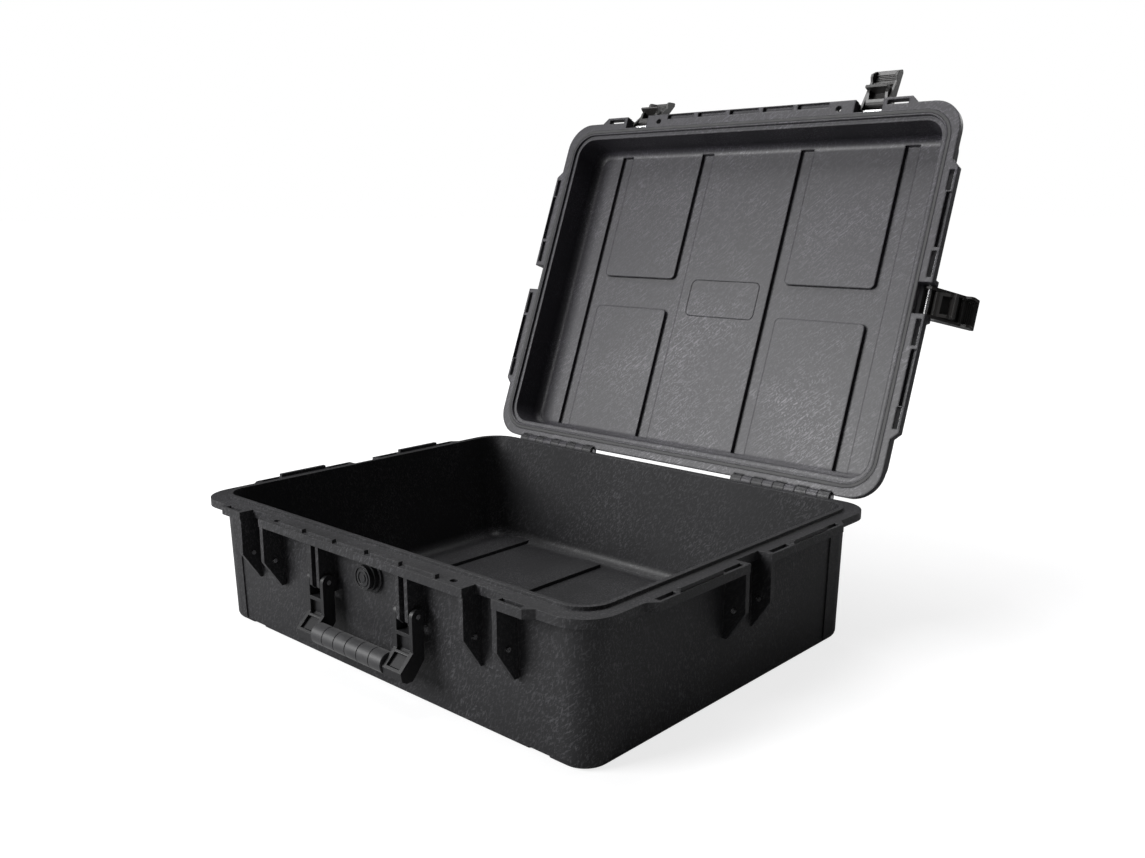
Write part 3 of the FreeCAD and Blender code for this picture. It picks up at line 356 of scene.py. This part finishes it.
# %% [markdown]
# ## Step 6: light
#
# Black plastic is lit by its reflections. One large soft panel stands in front
# and to the left, so the front and the inside of the lid glow while the right
# side stays deep. A long panel overhead draws the pale lines along the rims.

# %% lights and surroundings


def soft_panel(name, place, aim, wide, tall, watts):
    """One flat lamp that faces a point."""
    lamp = bpy.data.lights.new(name, "AREA")
    lamp.shape = "RECTANGLE"
    lamp.size = wide
    lamp.size_y = tall
    lamp.energy = watts
    holder = bpy.data.objects.new(name, lamp)
    holder.location = place
    toward = Vector(aim) - Vector(place)
    holder.rotation_euler = toward.to_track_quat("-Z", "Y").to_euler()
    bpy.context.scene.collection.objects.link(holder)
    return holder


soft_panel("front_panel", (-1.5, -2.7, 1.5), (0, 0.1, 0.25), 1.9, 1.5, 140)
soft_panel("top_panel", (-0.5, 0.2, 2.3), (0, 0, 0.2), 2.0, 1.3, 42)
soft_panel("back_strip", (1.0, 2.4, 1.3), (0, 0.2, 0.3), 1.8, 0.4, 14)

world = bpy.data.worlds.new("studio")
bpy.context.scene.world = world
world.use_nodes = True
sky = world.node_tree
sky.nodes.clear()
seen = sky.nodes.new("ShaderNodeBackground")
seen.inputs["Color"].default_value = (1, 1, 1, 1)
seen.inputs["Strength"].default_value = 1.0
felt = sky.nodes.new("ShaderNodeBackground")
felt.inputs["Color"].default_value = (1, 1, 1, 1)
felt.inputs["Strength"].default_value = 0.07
path = sky.nodes.new("ShaderNodeLightPath")
choice = sky.nodes.new("ShaderNodeMixShader")
sky_out = sky.nodes.new("ShaderNodeOutputWorld")
sky.links.new(path.outputs["Is Camera Ray"], choice.inputs[0])
sky.links.new(felt.outputs[0], choice.inputs[1])
sky.links.new(seen.outputs[0], choice.inputs[2])
sky.links.new(choice.outputs[0], sky_out.inputs["Surface"])

# %% [markdown]
# ## Step 7: the floor
#
# A wide pale sheet. Near the case it is a touch grey, and it grows to pure
# white by a couple of metres out, so that it melts into the background. It
# throws only a little light back up at the case.

# %% floor sheet


SHEET_STEPS = 48
NEAR, FAR = 0.7, 2.4
NEAR_GLOW, FAR_GLOW = 0.76, 1.0


def wide_sheet(half, rings):
    """A round sheet made of rings of faces, finer near the middle."""
    mesh = bpy.data.meshes.new("studio_floor")
    form = bmesh.new()
    last = None
    for ring in range(1, rings + 1):
        reach = half * (ring / rings) ** 2
        row = []
        for step in range(SHEET_STEPS):
            angle = math.radians(step * 360 / SHEET_STEPS)
            point = (reach * math.cos(angle), reach * math.sin(angle), 0)
            row.append(form.verts.new(point))
        if last is None:
            form.faces.new(row)
        else:
            for step in range(SHEET_STEPS):
                after = (step + 1) % SHEET_STEPS
                form.faces.new((last[step], row[step], row[after], last[after]))
        last = row
    form.to_mesh(mesh)
    form.free()
    sheet = bpy.data.objects.new("studio_floor", mesh)
    bpy.context.scene.collection.objects.link(sheet)
    return sheet


def floor_material():
    """Pale paper that glows for the camera, more so with distance."""
    graph = Graph("studio_floor")
    place = graph.node("ShaderNodeTexCoord").outputs["Object"]
    speck = graph.noise(place, 14.0, 4.0)
    tint = graph.mix(speck, (0.36, 0.36, 0.365, 1), (0.40, 0.40, 0.405, 1))
    paper = graph.node("ShaderNodeBsdfDiffuse", None, Color=tint)
    glow = graph.node("ShaderNodeEmission")
    far = graph.node("ShaderNodeVectorMath", {"operation": "LENGTH"})
    graph.plug(far.inputs[0], place)
    strength = graph.spread(far.outputs["Value"], NEAR, FAR, NEAR_GLOW, FAR_GLOW)
    graph.plug(glow.inputs["Strength"], strength)
    both = graph.node("ShaderNodeAddShader")
    graph.tree.links.new(paper.outputs[0], both.inputs[0])
    graph.tree.links.new(glow.outputs[0], both.inputs[1])
    rays = graph.node("ShaderNodeLightPath")
    chosen = graph.node("ShaderNodeMixShader")
    graph.tree.links.new(rays.outputs["Is Camera Ray"], chosen.inputs[0])
    graph.tree.links.new(paper.outputs[0], chosen.inputs[1])
    graph.tree.links.new(both.outputs[0], chosen.inputs[2])
    return graph.finish(chosen.outputs[0])


sheet = wide_sheet(half=60, rings=14)
sheet.data.materials.append(floor_material())
print("floor faces:", len(sheet.data.polygons))

# %% [markdown]
# ## Step 8: the camera
#
# We describe the camera in a maker's plain words: where it stands,
# which way it looks as a compass angle and a height angle, how far it is
# rolled, and the lens.

# %% product camera


def place_camera(stand, compass, height, roll, lens):
    """Set the camera from where it stands, its angles in degrees and its lens."""
    compass, height, roll = (math.radians(value) for value in (compass, height, roll))
    back = Vector((
        math.sin(compass) * math.cos(height),
        -math.cos(compass) * math.cos(height),
        math.sin(height),
    ))
    right = Vector((0, 0, 1)).cross(back).normalized()
    up = back.cross(right)
    level_right, level_up = right, up
    right = math.cos(roll) * level_right + math.sin(roll) * level_up
    up = math.cos(roll) * level_up - math.sin(roll) * level_right
    data = bpy.data.cameras.new("product_camera")
    data.lens = lens
    data.sensor_width = 36
    camera = bpy.data.objects.new("product_camera", data)
    turn = Matrix((right, up, back)).transposed().to_4x4()
    camera.matrix_world = Matrix.Translation(Vector(stand)) @ turn
    bpy.context.scene.collection.objects.link(camera)
    bpy.context.scene.camera = camera
    return camera


camera = place_camera(
    stand=(0.8635, -0.8623, 0.4823), compass=42.59, height=11.44, roll=-0.18, lens=34.07
)
print("camera:", camera.name, "lens", round(camera.data.lens, 2), "mm")

scene = bpy.context.scene
scene.view_settings.view_transform = "Standard"
scene.view_settings.look = "None"
scene.view_settings.exposure = 0.0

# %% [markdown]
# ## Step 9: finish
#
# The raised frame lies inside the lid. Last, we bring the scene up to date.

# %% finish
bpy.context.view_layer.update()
